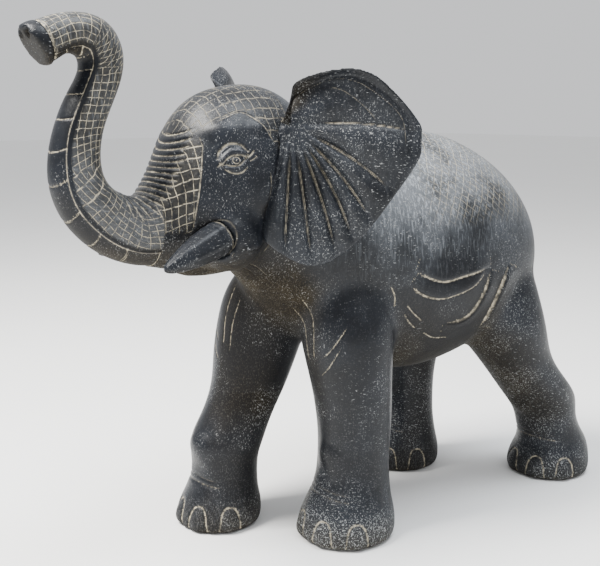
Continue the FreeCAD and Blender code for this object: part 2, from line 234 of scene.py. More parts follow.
def round_the_eyes(p):
    return (np.hypot(p[:, 1] - EYE_Y, p[:, 2] - EYE_Z) < EYE_REACH) & (abs(p[:, 0]) > EYE_REACH)


def split(mesh, where):
    """Split once the quads that lie where the test says, and take out the facets that this leaves."""
    work = bmesh.new()
    work.from_mesh(mesh)
    middles = np.array([face.calc_center_median() for face in work.faces])
    work.faces.ensure_lookup_table()
    edges = {edge for i in np.flatnonzero(where(middles)) for edge in work.faces[i].edges}
    bmesh.ops.subdivide_edges(work, edges=list(edges), cuts=1, use_grid_fill=True)
    work.to_mesh(mesh)
    work.free()
    smooth(mesh, 3, where(points_of(mesh)).astype(float))


for where in (toes_and_face, flanks_and_chest, round_the_eyes):
    split(blank, where)
print("after splitting:", len(blank.polygons), "faces")

# %% [markdown]
# ## The chisel
# A stroke is a line over the skin. Its few points are given in shares, dropped on to the skin and
# joined by a smooth curve. Every skin point near it then sinks by a groove's profile or rises by a
# fold's. The same strokes fill a second list, the wax that stays in the cuts, so colour and shape
# always agree.

# %% Soft masks
def ridge(distance, width):
    """1 on a line, falling to 0 a width away."""
    return np.exp(-(distance / width) ** 2)


def ramp(value, width):
    """0 where the value is under 0, and 1 from a width on."""
    return np.clip(value / width, 0, 1)


def between(value, low, high, soft):
    """1 between two limits, with soft ends."""
    return np.clip((value - low) / soft + 0.5, 0, 1) * np.clip((high - value) / soft + 0.5, 0, 1)


print("masks ready")

# %% A skin that remembers its cuts
BESIDE, BEFORE = 0.5, 0.6       # m from the middle, outside the part, where a ray starts
SHARP = 1.7 * MM                # half width of the cut under a fold


def curve_through(points, step=1.0 * MM):
    """A smooth curve through a few points, in short even steps."""
    points = [Vector(p) for p in points]
    ends = [points[0] * 2 - points[1], *points, points[-1] * 2 - points[-2]]
    made = []
    for a, b, c, d in zip(ends, ends[1:], ends[2:], ends[3:]):
        count = max(2, int((c - b).length / step))
        for i in range(count):
            t = i / count
            made.append(0.5 * (2 * b + (c - a) * t + (2 * a - 5 * b + 4 * c - d) * t ** 2
                               + (3 * b - a - 3 * c + d) * t ** 3))
    return made + [points[-1]]


class Skin:
    """A mesh being carved: how far each point rises, how much wax it takes, how much brown and painted
    shade, and how much bloom and painted sheen.
    """

    def __init__(self, mesh):
        self.mesh = mesh
        self.points, self.normals = points_of(mesh), normals_of(mesh)
        self.tree = BVHTree.FromPolygons([Vector(p) for p in self.points],
                                         [tuple(f.vertices) for f in mesh.polygons])
        size = len(self.points)
        self.lift, self.wax, self.brown, self.dust_and_sheen = (np.zeros(size) for _ in range(4))
        self.worn_and_highlight = np.full(size, 0.45)
        self.phase_a, self.phase_b, self.cut_a, self.cut_b = (np.zeros(size) for _ in range(4))

    def from_side(self, y, z, side):
        """The skin's point at this y and z, seen from the left or the right."""
        hit = self.tree.ray_cast(Vector((side * BESIDE, y, z)), Vector((-side, 0, 0)))[0]
        return hit or self.tree.find_nearest(Vector((side * 0.1, y, z)))[0]

    def from_front(self, x, z):
        return self.tree.ray_cast(Vector((x, -BEFORE, z)), Vector((0, 1, 0)))[0]

    def side_line(self, line, side):
        return [self.from_side(y, z, side) for y, z in line]

    def rub(self, wax):
        """Wax that stays, where there isn't more already."""
        self.wax = np.maximum(self.wax, wax)

    def carved(self):
        return self.points + self.normals * self.lift[:, None]

    def near(self, path, reach):
        """Points within reach of a path: which ones, how far, and from which of its points."""
        path = np.array(path)
        low, high = path.min(0) - reach, path.max(0) + reach
        which = np.flatnonzero(((self.points > low) & (self.points < high)).all(1))
        apart = np.linalg.norm(self.points[which, None] - path[None], axis=2)
        closest = apart.argmin(1)
        away = apart[np.arange(len(which)), closest]
        keep = away < reach
        return which[keep], away[keep], closest[keep], path

    def lay(self, points):
        """A curve through points, dropped on to the skin."""
        return [self.tree.find_nearest(p)[0] for p in curve_through(points)]

    def groove(self, points, width, depth, wax=1.0, taper=True):
        """A cut with round shoulders. A depth under 0 raises a bead instead."""
        path = self.lay(points)
        which, away, closest, path = self.near(path, width)
        along = closest / max(1, len(path) - 1)
        fade = np.minimum(1, np.minimum(along, 1 - along) * 6) ** 0.5 if taper else 1.0
        self.lift[which] -= depth * (1 - (away / width) ** 2) ** 2 * fade
        inner = np.clip(1.05 - away / (0.75 * width), 0, 1) * fade * wax
        self.wax[which] = np.maximum(self.wax[which], inner)

    def fold(self, points, width, height, towards, wax=0.8):
        """Skin that hangs over a line: full on one side of it, with a cut underneath."""
        path = self.lay(points)
        which, away, closest, path = self.near(path, width)
        along = closest / max(1, len(path) - 1)
        fade = np.clip(np.minimum(along, 1 - along) * 5, 0, 1) ** 0.7
        side = ((self.points[which] - path[closest]) * np.array(towards)).sum(1)
        over = 0.5 + 0.5 * np.tanh(side / (1.6 * MM))
        swell = (1 - (away / width) ** 2) ** 2
        self.lift[which] += height * over * swell * fade
        cut = ridge(away, SHARP)
        self.lift[which] -= 0.45 * height * cut * fade
        self.wax[which] = np.maximum(self.wax[which], cut * wax * fade)

    def bump(self, centre, radii, height):
        """A round swelling or, with a height under 0, a hollow."""
        apart = (((self.points - np.array(centre)) / np.array(radii)) ** 2).sum(1)
        self.lift += height * np.clip(1 - apart, 0, 1) ** 2


body = Skin(blank)
px, py, pz = body.points.T      # the coordinates by axis
print("points to carve:", len(body.points))

# %% [markdown]
# ## The middle line of the trunk
# The trunk's marks run along it and round it, so each of its points needs two numbers: how far along,
# and at what angle round. Both are measured from a line through the middle of the trunk. The line's
# points are shares of the trunk's own box, from the root forward and from the bend up.

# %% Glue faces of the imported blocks
def flat_faces(node):
    """The flat faces of a block: {plane: [area, middle * area]}."""
    made = {}
    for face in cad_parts[node].data.polygons:
        n, c = face.normal, face.center
        key = (round(n.x, 2), round(n.y, 2), round(n.z, 2), round(n.dot(c) / MM))
        entry = made.setdefault(key, [0.0, Vector()])
        entry[0] += face.area
        entry[1] += c * face.area
    return made


def glue_face(a, b):
    """The middle of the face where two blocks meet, and its direction from a into b."""
    of_a, of_b = flat_faces(a), flat_faces(b)
    shared = [key for key in of_a if tuple(-v for v in key) in of_b]
    key = max(shared, key=lambda k: of_a[k][0])
    area, total = of_a[key]
    return total / area, Vector(key[:3]).normalized()


ROOT, ROOT_WAY = glue_face("head_block", "trunk_root")
UPPER, UPPER_WAY = glue_face("trunk_root", "trunk_upper")
TIP, TIP_WAY = glue_face("trunk_upper", "trunk_tip")
NECK, NECK_WAY = glue_face("torso_block", "head_block")
for name, spot in (("root", ROOT), ("upper", UPPER), ("tip", TIP), ("neck", NECK)):
    print(name, "glue face at", [round(v / MM) for v in spot], "mm")


# %% The trunk's middle line
STRIDE = 2 * MM
MIDDLE_LINE = [(0.0, 0.17), (0.16, 0.16), (0.32, 0.19), (0.46, 0.245), (0.56, 0.31), (0.61, 0.40),
               (0.59, 0.53), (0.46, 0.685), (0.37, 0.80), (0.41, 0.89), (0.51, 0.92), (0.63, 0.92),
               (0.96, 0.86)]
trunk_boxes = [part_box(name) for name in TRUNK]
TRUNK_LOW = np.array([low for low, _ in trunk_boxes]).min(0)
TRUNK_HIGH = np.array([high for _, high in trunk_boxes]).max(0)
stops = np.array(curve_through(
    [(0, TRUNK_HIGH[1] + (TRUNK_LOW[1] - TRUNK_HIGH[1]) * forward,
      TRUNK_LOW[2] + (TRUNK_HIGH[2] - TRUNK_LOW[2]) * up) for forward, up in MIDDLE_LINE], STRIDE))
ways = np.gradient(stops, axis=0)
lengths = np.linalg.norm(ways, axis=1)
ways /= lengths[:, None]
reached = np.cumsum(lengths) - lengths[0]
print(len(stops), "stops, trunk", round(reached[-1] / MM), "mm long")


# %% Where each point of the trunk is
WINDOW = 9          # values in a running mean
BATCH = 20000       # points measured at a time, to save memory


def even(values, ends):
    """The running mean of a list of values."""
    return np.convolve(np.pad(values, WINDOW // 2, ends), np.ones(WINDOW) / WINDOW, "valid")


class TrunkMap:
    """For the skin's points: how far along the trunk, at what angle round it, and how thick it is there.

    The angle is 0 under the trunk, which is the outside when it is raised, and pi on top.
    """

    def __init__(self, points):
        self.on = (points - np.array(ROOT)) @ np.array(ROOT_WAY) > 0
        close = np.flatnonzero(points[:, 1] < ROOT.y + 1 * MM)
        nearest = np.zeros(len(points), int)
        for part in np.array_split(close, 1 + len(close) // BATCH):
            nearest[part] = np.linalg.norm(points[part, None] - stops[None], axis=2).argmin(1)
        offset, way = points - stops[nearest], ways[nearest]
        under = np.stack([0 * way[:, 0], -way[:, 2], way[:, 1]], 1)
        self.along = reached[nearest] + (offset * way).sum(1)
        self.angle = np.arctan2(abs(points[:, 0]), (offset * under).sum(1))
        away = np.linalg.norm(offset, axis=1)
        count = np.bincount(nearest[close], minlength=len(stops))
        sizes = np.bincount(nearest[close], away[close], len(stops)) / count.clip(1)
        sizes = np.interp(np.arange(len(stops)), np.flatnonzero(count > 9), sizes[count > 9])
        self.girth = even(sizes, "edge")[nearest]
        self.round = self.angle * self.girth


trunk = TrunkMap(body.points)
print("trunk points:", int(trunk.on.sum()), " half thickness",
      (trunk.girth[trunk.on].min() / MM).round(), "to", (trunk.girth[trunk.on].max() / MM).round(), "mm")

# %% [markdown]
# ## The trunk
# The carver leaves a smooth strap along the underside, edged by a raised line and crossed by single
# cuts, and covers the rest with a net of fine cuts. Behind the nose a deep ring leaves a plain lip.
# Cuts as fine as the net are drawn by the finish, which needs to know where they run: a phase that
# goes up by one from each line to the next, stored on the points. The strap, its edge, the ring and
# the lip are large enough to be real shapes.

# %% The strap, the net and the lip
STRAP = math.radians(54)
LIP = 13 * MM
STRAP_CUT = 21 * MM     # from one cut over the strap to the next

end = trunk.along[trunk.on].max()
lip_start = end - LIP
edge = (trunk.angle - STRAP) * trunk.girth
on = trunk.on * (trunk.along < lip_start)
strap = on * ramp(-edge, 1.5 * MM)
body.lift -= 0.7 * MM * strap
body.lift += 0.9 * MM * on * ridge(edge, 1.5 * MM)
arched = trunk.along - 4 * MM * (trunk.angle / STRAP) ** 2
cross = (arched / STRAP_CUT + 0.5) % 1 - 0.5
line = ridge(cross * STRAP_CUT, 0.7 * MM) * strap
body.lift -= 0.6 * MM * line
body.rub(0.6 * line)
body.rub(0.65 * on * ridge(edge + 1.2 * MM, 0.8 * MM))
ring = trunk.on * ridge(trunk.along - lip_start, 1.1 * MM)
body.lift -= 1.3 * MM * ring
body.rub(0.5 * trunk.on * ridge(trunk.along - lip_start + 1.6 * MM, 0.6 * MM))
lip = trunk.on * between(trunk.along, lip_start + 2 * MM, end, 3 * MM)
body.lift += 0.5 * MM * lip
nose = body.points[trunk.on & (trunk.along > end - 1.5 * MM)].mean(0)
for side, _ in SIDES:
    body.bump(nose + np.array((side * 6.5 * MM, 0, 0)), (4.2 * MM, 5 * MM, 5.5 * MM), -6 * MM)
net = on * ramp(edge - 2.5 * MM, 2 * MM)
slant = 0.45 * between(trunk.along, 0.30 * end, 0.74 * end, 0.12 * end)
body.phase_a = (trunk.along - slant * trunk.round) / (6.6 * MM)
body.phase_b = (trunk.round + 0.45 * slant * trunk.along) / (5.4 * MM)
body.cut_a += net
body.cut_b += net
print("strap cuts:", int(lip_start / STRAP_CUT), " net over", int(net.sum()), "points")

# %% [markdown]
# ## Rings where the trunk leaves the face
# When a trunk is lifted the skin on top of its root is pushed together into rolls. They all point at
# the middle of the bend, so an angle about that middle counts them.

# %% The rolls
BEND_Y, BEND_Z = place("trunk_root", 0.65, 0.89)
ROLL_STEP = math.radians(6.6)
ROLLS_FROM, ROLLS_TO = math.radians(-14), math.radians(88)

side_x = abs(px)
bend = body.points - np.array((0, BEND_Y, BEND_Z))
turned = np.arctan2(-bend[:, 2], bend[:, 1])
from_bend = np.hypot(bend[:, 1], bend[:, 2])
facing = -(body.normals[:, 1] * bend[:, 1] + body.normals[:, 2] * bend[:, 2]) / from_bend
rolls = between(turned, ROLLS_FROM, ROLLS_TO, math.radians(8))
rolls *= between(from_bend, 20 * MM, 76 * MM, 6 * MM) * ramp(facing - 0.25, 0.3)
rolls *= ramp(30 * MM - side_x, 7 * MM)
phase = turned / ROLL_STEP + 0.6 * (side_x / (30 * MM)) ** 2
valley = ridge((phase + 0.5) % 1 - 0.5, 0.13)
body.lift += rolls * (0.7 * np.abs(np.sin(np.pi * phase)) ** 0.7 - 1.1 * valley + 0.1) * MM
body.rub(0.7 * rolls * valley)
body.cut_a *= 1 - rolls.clip(0, 1)
body.cut_b *= 1 - 0.7 * rolls.clip(0, 1)
print("rolls:", int((ROLLS_TO - ROLLS_FROM) / ROLL_STEP))

# %% [markdown]
# ## The net on the head
# Two fields of net lie on the head. One fills the side of the face between the trunk and a border cut
# in front of the eye. The other goes over the top of the head, with lines that stand closer at the
# front, and stops at an arch over the brow.

# %% Face and crown
FACE_CUT = places("head_block", ((0.217, 0.736), (0.168, 0.514), (0.141, 0.306)))
BROW_ARCH = places("head_block", ((0.152, 0.722), (0.261, 0.792), (0.413, 0.861), (0.5, 0.806),
                                  (0.576, 0.681), (0.674, 0.639)))
CROWN_BACK = place("head_block", 0.695, 0)[0]

border = np.interp(pz, [p[1] for p in FACE_CUT[::-1]], [p[0] for p in FACE_CUT[::-1]])
in_face = between(pz, FACE_CUT[-1][1], FACE_CUT[0][1], 4 * MM) * (py > ROOT.y)
in_face *= ramp(border - py, 2 * MM) * ramp(side_x - 22 * MM, 5 * MM)
arch = np.interp(py, [p[0] for p in BROW_ARCH], [p[1] for p in BROW_ARCH])
in_crown = ramp(pz - arch, 2.5 * MM) * (py < CROWN_BACK) * (py > HEAD_LOW.y)
in_crown *= 1 - rolls.clip(0, 1)
back_share = ((py - HEAD_LOW.y) / (CROWN_BACK - HEAD_LOW.y)).clip(0, 1)
lean = np.arctan2(side_x, pz - place("head_block", 0, 0.528)[1])
for region, phase_a, phase_b, strength in (
        (in_face, py / (5.5 * MM), (pz - 0.35 * py) / (8.5 * MM), 1.0),
        (in_crown, 17 * back_share ** 0.8, lean / math.radians(8.5), 0.36)):
    inside = region > 0.02
    body.phase_a[inside], body.phase_b[inside] = phase_a[inside], phase_b[inside]
    body.cut_a[inside], body.cut_b[inside] = region[inside] * strength, region[inside] * strength * 0.9
for side, _ in SIDES:
    body.groove(body.side_line(FACE_CUT, side), 1.8 * MM, 0.7 * MM, 0.8)
    body.groove(body.side_line(BROW_ARCH[1:5], side), 1.8 * MM, 0.5 * MM, 0.6)
print("net on the face:", int(in_face.sum()), " on the crown:", int(in_crown.sum()))

# %% [markdown]
# ## The eyes
# An eye is cut in layers: a shallow socket, a ball inside an almond, a thick rolled lid over it, a
# thinner one below, and fine creases at the corners. The layers are strokes in the eye's own
# directions, back along the head and up, so both eyes come from the same lines.

# %% Lids, ball and creases
EYE_TILT = math.radians(9)
IRIS = [(1 + 3.0 * math.cos(a), -1.4 + 2.8 * math.sin(a)) for a in np.linspace(0, 2 * math.pi, 9)]
EYE_STROKES = [     # the line, its width and its depth in mm, and the wax that stays in it
    ([(-11, -3), (-7, 2), (0, 5.6), (7, 4), (11.5, 0)], 4.4, -2.4, 0),              # upper lid
    ([(-10, -2.5), (-6, 0.6), (0, 2.8), (6, 2.2), (11, -0.5)], 1.7, 1.0, 1.0),      # cut below it
    ([(-11, -4), (-5, -7.2), (2, -8.0), (8, -4.5), (11, -1)], 2.8, -1.2, 0),        # lower lid
    ([(-9, -3), (-4, -5.2), (2, -5.8), (7, -3), (10, -0.6)], 1.4, 0.8, 1.0),        # cut above it
    ([(-13, 1), (-9, 8), (0, 12.5), (9, 10), (13.5, 3)], 2.6, 1.4, 0.8),            # crease over the eye
    ([(-10, -7), (-4, -11.5), (3, -12), (9, -8.5)], 2.0, 0.7, 0.8),                 # crease under it
    ([(-15, -5), (-12, -3), (-9, -2.6)], 1.8, 0.7, 1.0),                            # front corner
    ([(11, -1), (15, 1), (19, 4)], 1.8, 0.8, 1.0),                                  # back corner
    ([(12, -4), (16, -3), (20, -1)], 1.6, 0.6, 0.7),
]


def eye_point(back, up, side):
    """A point of the skin round an eye, in mm behind its middle and above it."""
    y = EYE_Y + (back * math.cos(EYE_TILT) - up * math.sin(EYE_TILT)) * MM
    z = EYE_Z + (back * math.sin(EYE_TILT) + up * math.cos(EYE_TILT)) * MM
    return body.from_side(y, z, side)


def eye_line(points, side):
    return [eye_point(back, up, side) for back, up in points]


for side, _ in SIDES:
    body.bump(eye_point(0, 1, side), (22 * MM, 17 * MM, 13 * MM), -1.6 * MM)
    body.bump(eye_point(1, 24, side), (24 * MM, 26 * MM, 13 * MM), 2.6 * MM)
    body.bump(eye_point(0, -1.5, side), (12 * MM, 9 * MM, 6.5 * MM), 2.6 * MM)
    for line, width, depth, wax in EYE_STROKES:
        body.groove(eye_line(line, side), width * MM, depth * MM, wax)
    body.groove(eye_line(IRIS, side), 1.3 * MM, 0.6 * MM, 0.9, taper=False)
    body.bump(eye_point(1, -1.4, side), (3 * MM, 1.6 * MM, 1.6 * MM), -0.9 * MM)
print("eyes at", [round(v / MM) for v in eye_point(0, 0, LEFT)], "mm")

# %% [markdown]
# ## Face, neck and chest
# The tusks sit in sockets whose edge is raised a little. Below them the lip runs back to the corner
# of the mouth. Two lines in front of each ear mark where it is folded on to the neck, and a low
# swelling covers its dowel. Shallow folds and cuts cross the flanks, and a few cuts the chest.

# %% Tusk sockets, mouth and neck lines
LIP_LINE = ((0.239, 0.194), (0.391, 0.208), (0.522, 0.236))
NECK_CUTS = (((0.511, 0.583), (0.522, 0.5), (0.511, 0.417)),
             ((0.598, 0.333), (0.576, 0.25), (0.543, 0.167)))


def tusk_axis(name):
    """The tusk's shoulder, its direction and its radius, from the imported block."""
    points = points_of(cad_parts[name].data)
    tenon = points.mean(0)
    way = np.linalg.svd(points - tenon, full_matrices=False)[2][0]
    way = -way * np.sign(way[1])
    along = (points - tenon) @ way
    away = np.linalg.norm(points - tenon - np.outer(along, way), axis=1)
    radius = away.max()
    shoulder = along[away > 0.98 * radius].min()
    return tenon + way * shoulder, way, radius


for side, hand in SIDES:
    shoulder, way, radius = tusk_axis("tusk_" + hand)
    offset = body.points - shoulder
    away = np.linalg.norm(offset - np.outer(offset @ way, way), axis=1)
    at = ridge(offset @ way, 9 * MM)
    body.lift += 1.4 * MM * at * ridge(away - radius - 2.5 * MM, 2.5 * MM)
    body.rub(0.5 * at * ridge(away - radius - 0.4 * MM, 1.0 * MM))
    body.fold(body.side_line(places("head_block", LIP_LINE), side), 9 * MM, 1.6 * MM, (0, 0, 1), 0.3)
    for line in NECK_CUTS:
        body.groove(body.side_line(places("head_block", line), side), 2.2 * MM, 0.7 * MM, 0.6)
    low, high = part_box(f"ear_{hand}_dowels")
    body.bump((side * 46 * MM, low.y + 5 * MM, high.z - 3 * MM), (15 * MM, 15 * MM, 13 * MM), 4 * MM)
print("tusk radius", round(radius / MM, 1), "mm")

# %% Flanks and chest
FLANK_FOLDS = [     # the line, the fold's width and height in mm, and the way it hangs
    (((0.355, 0.478), (0.435, 0.433), (0.514, 0.444), (0.613, 0.466)), 26, 3.0, (0, 0, 1)),
    (((0.345, 0.433), (0.385, 0.389), (0.445, 0.367), (0.504, 0.378), (0.554, 0.4), (0.593, 0.444)),
     22, 3.4, (0, 0, 1)),
    (((0.613, 0.455), (0.593, 0.355), (0.554, 0.278), (0.474, 0.261)), 26, 2.8, (0, 0.6, -0.8)),
    (((0.693, 0.466), (0.668, 0.378), (0.653, 0.3), (0.643, 0.211)), 30, 4.0, (0, 1, 0)),
]
FLANK_CUTS = [
    ((0.296, 0.428), (0.311, 0.389), (0.316, 0.35)), ((0.35, 0.35), (0.375, 0.317), (0.405, 0.283)),
    ((0.35, 0.317), (0.37, 0.283), (0.395, 0.255)), ((0.841, 0.433), (0.856, 0.405), (0.871, 0.372)),
    ((0.851, 0.372), (0.866, 0.35), (0.881, 0.333)), ((0.425, 0.233), (0.464, 0.205), (0.514, 0.2)),
]
CHEST_CUTS = [      # shares of half the width and of the height, seen from the front
    ((0.12, 0.50), (0.25, 0.58)), ((0.20, 0.47), (0.33, 0.56)), ((0.30, 0.46), (0.42, 0.54)),
    ((0.30, 0.36), (0.36, 0.25), (0.37, 0.14)), ((0.42, 0.40), (0.47, 0.28), (0.46, 0.16)),
    ((0.75, 0.30), (0.66, 0.22), (0.56, 0.18)), ((0.72, 0.22), (0.62, 0.15), (0.52, 0.11)),
]
for side, _ in SIDES:
    for line, width, height, towards in FLANK_FOLDS:
        body.fold(body.side_line(places("torso_block", line), side), width * MM, height * MM, towards, 0.62)
    for line in FLANK_CUTS:
        body.groove(body.side_line(places("torso_block", line), side), 2.0 * MM, 0.8 * MM, 0.6)
    for line in CHEST_CUTS:
        path = [(side * x * TORSO_HIGH.x, place("torso_block", 0, z)[1]) for x, z in line]
        body.groove([body.from_front(x, z) for x, z in path], 1.7 * MM, 0.6 * MM, 0.5)
print("folds on each flank:", len(FLANK_FOLDS))

# %% [markdown]
# ## Feet
# Each foot gets four toenails round its front. A nail is a low dome with a cut round its top. Two
# creases over the toes mark the ankle, and higher up a swelling over a hollow makes the knee.

# %% Toenails, ankles and knees
NAIL_ANGLES = [-74, -26, 20, 64]    # degrees round the foot from straight ahead
NAIL_WIDE, NAIL_TALL = 11.5 * MM, 23 * MM
NAIL_FOOT = 3 * MM                  # height of a nail's lower ends
SOLE = 12 * MM                      # points lower than this give the foot's middle and width
BESIDE_LEG = 0.09
ANKLES = ((0.33, 0.9), (0.37, 0.6))     # share of the leg's height and depth in mm
KNEE = 0.62


def foot_point(middle, angle, z):
    """The skin of a foot at an angle round its middle and a height, seen from outside."""
    out = Vector((math.sin(angle), -math.cos(angle), 0))
    return body.tree.ray_cast(Vector((middle.x, middle.y, z)) + out * BESIDE_LEG, -out)[0]


for name in LEGS:
    low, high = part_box(name)
    sole = body.points[(pz < SOLE) & (px > low.x) & (px < high.x) & (py > low.y - MM) & (py < high.y + MM)]
    middle = Vector((sole.min(0) + sole.max(0)) / 2)
    wide = (sole.max(0) - sole.min(0))[0] / 2
    for degrees in NAIL_ANGLES:
        angle = math.radians(degrees) * (1 if middle.x > 0 else -1)
        rim = [foot_point(middle, angle + NAIL_WIDE / wide * t,
                          NAIL_FOOT + NAIL_TALL * (1 - abs(t) ** 3) ** 0.6) for t in np.linspace(-1, 1, 11)]
        body.groove(rim, 2.4 * MM, 1.3 * MM, 0.55, taper=False)
        body.bump(foot_point(middle, angle, 11 * MM), (11 * MM, 11 * MM, 15 * MM), 1.8 * MM)
    for rise, depth in ANKLES:
        z = high.z * rise
        span = [foot_point(middle, math.radians(a), z + 2 * MM * math.cos(math.radians(a * 2)))
                for a in range(-70, 71, 28)]
        body.groove([p for p in span if p], 3.2 * MM, depth * MM, 0.4)
    knee = foot_point(middle, 0, high.z * KNEE)
    if knee:
        body.bump(knee, (24 * MM, 18 * MM, 17 * MM), 3.0 * MM)
        body.bump(knee - Vector((0, 0, 25 * MM)), (22 * MM, 18 * MM, 12 * MM), -1.6 * MM)
print("nails:", len(NAIL_ANGLES) * len(LEGS))

# %% [markdown]
# ## Colour that follows the shape
# The last masks need no strokes. The net over the rump runs by distances along the back and round it.
# Faces that look down, the chest and the places near the soles are browner and darker: olive brown
# shows through thin stain, and near the soles the feet are worn brown, but on faces that look down the
# darkening is painted shade and on the chest a painted shadow of the head. A grey wax bloom lies on
# the back, on the shoulders and in the trunk's net; on the faces that look up it is also a painted
# sheen, and on the shoulders a painted highlight. Worn places, low on the legs, have more specks, and
# so has the painted highlight on the shoulders. Every hollow of the finished skin holds some wax.

# %% Rump net, bloom and painted sheen, brown and painted shade, hollows
SPINE_Z = place("torso_block", 0, 0.444)[1]
torso_y, torso_z = torso_shares(body.points)
over_back = np.arctan2(side_x, pz - SPINE_Z)
rump = between(torso_y, 0.42, 0.90, 0.08) * ramp(math.radians(66) - over_back, 0.25)
inside = rump > 0.02
across = over_back * 0.1
body.phase_a[inside] = ((py * 0.85 + across * 0.6) / (8 * MM))[inside]
body.phase_b[inside] = ((across - py * 0.62) / (6.5 * MM))[inside]
body.cut_a[inside], body.cut_b[inside] = 0.60 * rump[inside], 0.45 * rump[inside]
facing_up = body.normals[:, 2]
# Painted sheen: the grey bloom on faces that look up, high on the body, is partly wax bloom and partly a
# painted sheen of light from above.
body.dust_and_sheen = np.clip(facing_up * 0.9 + 0.35, 0, 1) * between(torso_y, 0.15, 1.2, 0.20)
body.dust_and_sheen *= np.clip((torso_z - 0.42) * 3, 0, 1)
body.dust_and_sheen = np.maximum(body.dust_and_sheen, 0.30 * trunk.on * body.cut_b)
body.dust_and_sheen += 0.10 * np.clip(1.2 - pz / (50 * MM), 0, 1)
# Painted highlight: a round patch of grey bloom and extra specks on each shoulder, where the light falls
# brightest.
shoulder = np.exp(-((torso_y - 0.36) / 0.14) ** 2 - ((torso_z - 0.74) / 0.22) ** 2)
body.dust_and_sheen += 0.55 * shoulder
body.worn_and_highlight += 0.35 * (pz < 0.35 * TORSO_HIGH.z) + 0.25 * shoulder
body.worn_and_highlight += 0.5 * (pz < 0.08 * TORSO_HIGH.z)
body.worn_and_highlight *= 1 - 0.6 * trunk.on
# Painted shade with some real brown: faces that look down, the chest and the belly's underside turn browner
# and darker. Some of this is the wood's own olive brown, the darkening is painted shade, and on the chest
# it is also a painted shadow of the head. Near the soles the brown is wear.
body.brown = np.clip(-facing_up * 1.3 - 0.1, 0, 1)
body.brown += 0.8 * np.clip(1 - pz / (30 * MM), 0, 1)
chest = between(torso_y, -0.3, 0.14, 0.08) * between(torso_z, -0.1, 0.52, 0.1)
body.brown += 0.8 * chest * ramp(62 * MM - side_x, 12 * MM)
body.brown += 0.3 * ramp(40 * MM - side_x, 10 * MM) * (pz < TORSO_LOW.z)
move_to(blank, body.carved().clip(np.array(CAD_BOX[0]), np.array(CAD_BOX[1])))
body.rub(np.clip((hollows(blank) - 0.03 * MM) / (0.16 * MM), 0, 0.75))
print("lift from", (body.lift.min() / MM).round(1), "to", (body.lift.max() / MM).round(1), "mm")

# %% [markdown]
# ## Back to separate blocks
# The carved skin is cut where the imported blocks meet, so that each block is a piece of its own again
# and its edges still match its neighbour's exactly. The skin is parted along each glue face, and the
# open end of every part is closed.

# %% Part the skin at the glue faces
LEG_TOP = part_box(LEGS[0])[1].z
MASKS = ("lines", "cuts", "tone")


def store(mesh, name, vectors):
    layer = mesh.attributes.new(name, "FLOAT_VECTOR", "POINT")
    layer.data.foreach_set("vector", vectors.astype(np.float32).ravel())


def write_masks(mesh, skin):
    """Stores the skin's masks on its points, three to a vector, for the finish to read."""
    free = np.zeros(len(skin.dust_and_sheen))
    for name, columns in zip(MASKS, ((skin.phase_a, skin.phase_b, skin.wax),
                                     (skin.cut_a, skin.cut_b, skin.brown),
                                     (skin.dust_and_sheen, skin.worn_and_highlight, free))):
        store(mesh, name, np.stack(columns, 1))


def part_at(work, middle, way, reach):
    """Cuts across the faces within reach of a point, and returns the new edges."""
    faces = [f for f in work.faces if (f.calc_center_median() - middle).length < reach]
    around = {e for f in faces for e in f.edges} | {v for f in faces for v in f.verts}
    cut = bmesh.ops.bisect_plane(work, geom=[*faces, *around], plane_co=middle, plane_no=way, dist=1e-6)
    return [e for e in cut["geom_cut"] if isinstance(e, bmesh.types.BMEdge)]


write_masks(blank, body)
work = bmesh.new()
work.from_mesh(blank)
glued = [(ROOT, ROOT_WAY, 50), (UPPER, UPPER_WAY, 36), (TIP, TIP_WAY, 28), (NECK, NECK_WAY, 140)]
for name in LEGS:
    low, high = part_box(name)
    glued.append((Vector(((low.x + high.x) / 2, (low.y + high.y) / 2, LEG_TOP)), Vector((0, 0, 1)), 75))
seams = {edge for middle, way, reach in glued for edge in part_at(work, middle, way, reach * MM)}
bmesh.ops.split_edges(work, edges=list(seams))
work.to_mesh(blank)
work.free()
print("seam edges:", len(seams))


# %% Find the parts
CRUMB = 500     # points: anything smaller isn't a block


def labels_of(mesh):
    """One number for all points that hang together."""
    pairs = pairs_of(mesh)
    label = np.arange(len(mesh.vertices))
    while True:
        before = label.copy()
        lower = np.minimum(label[pairs[:, 0]], label[pairs[:, 1]])
        np.minimum.at(label, pairs[:, 0], lower)
        np.minimum.at(label, pairs[:, 1], lower)
        label = label[label]
        if (label == before).all():
            return label


def taken(mesh, keep, name):
    """A mesh of the kept points and their faces, with their masks."""
    new_index = np.cumsum(keep) - 1
    faces = [[int(new_index[v]) for v in f.vertices] for f in mesh.polygons if keep[f.vertices[0]]]
    made = bpy.data.meshes.new(name)
    made.from_pydata(points_of(mesh)[keep].tolist(), [], faces)
    for mask in MASKS:
        store(made, mask, read(mesh.attributes[mask].data, "vector", 3)[keep])
    return made


label = labels_of(blank)
names, sizes = np.unique(label, return_counts=True)
parts = [taken(blank, label == n, "part") for n, size in zip(names, sizes) if size > CRUMB]
print("parts:", [len(p.polygons) for p in parts])

# %% Close each part and let it stand for its block
CARVED = ["head_block", "torso_block", *TRUNK, *LEGS]
FAR_APART = 40 * MM


def middle_of_box(name):
    low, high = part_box(name)
    return (low + high) / 2


def middle_of_mesh(mesh):
    points = points_of(mesh)
    return Vector((points.min(0) + points.max(0)) / 2)


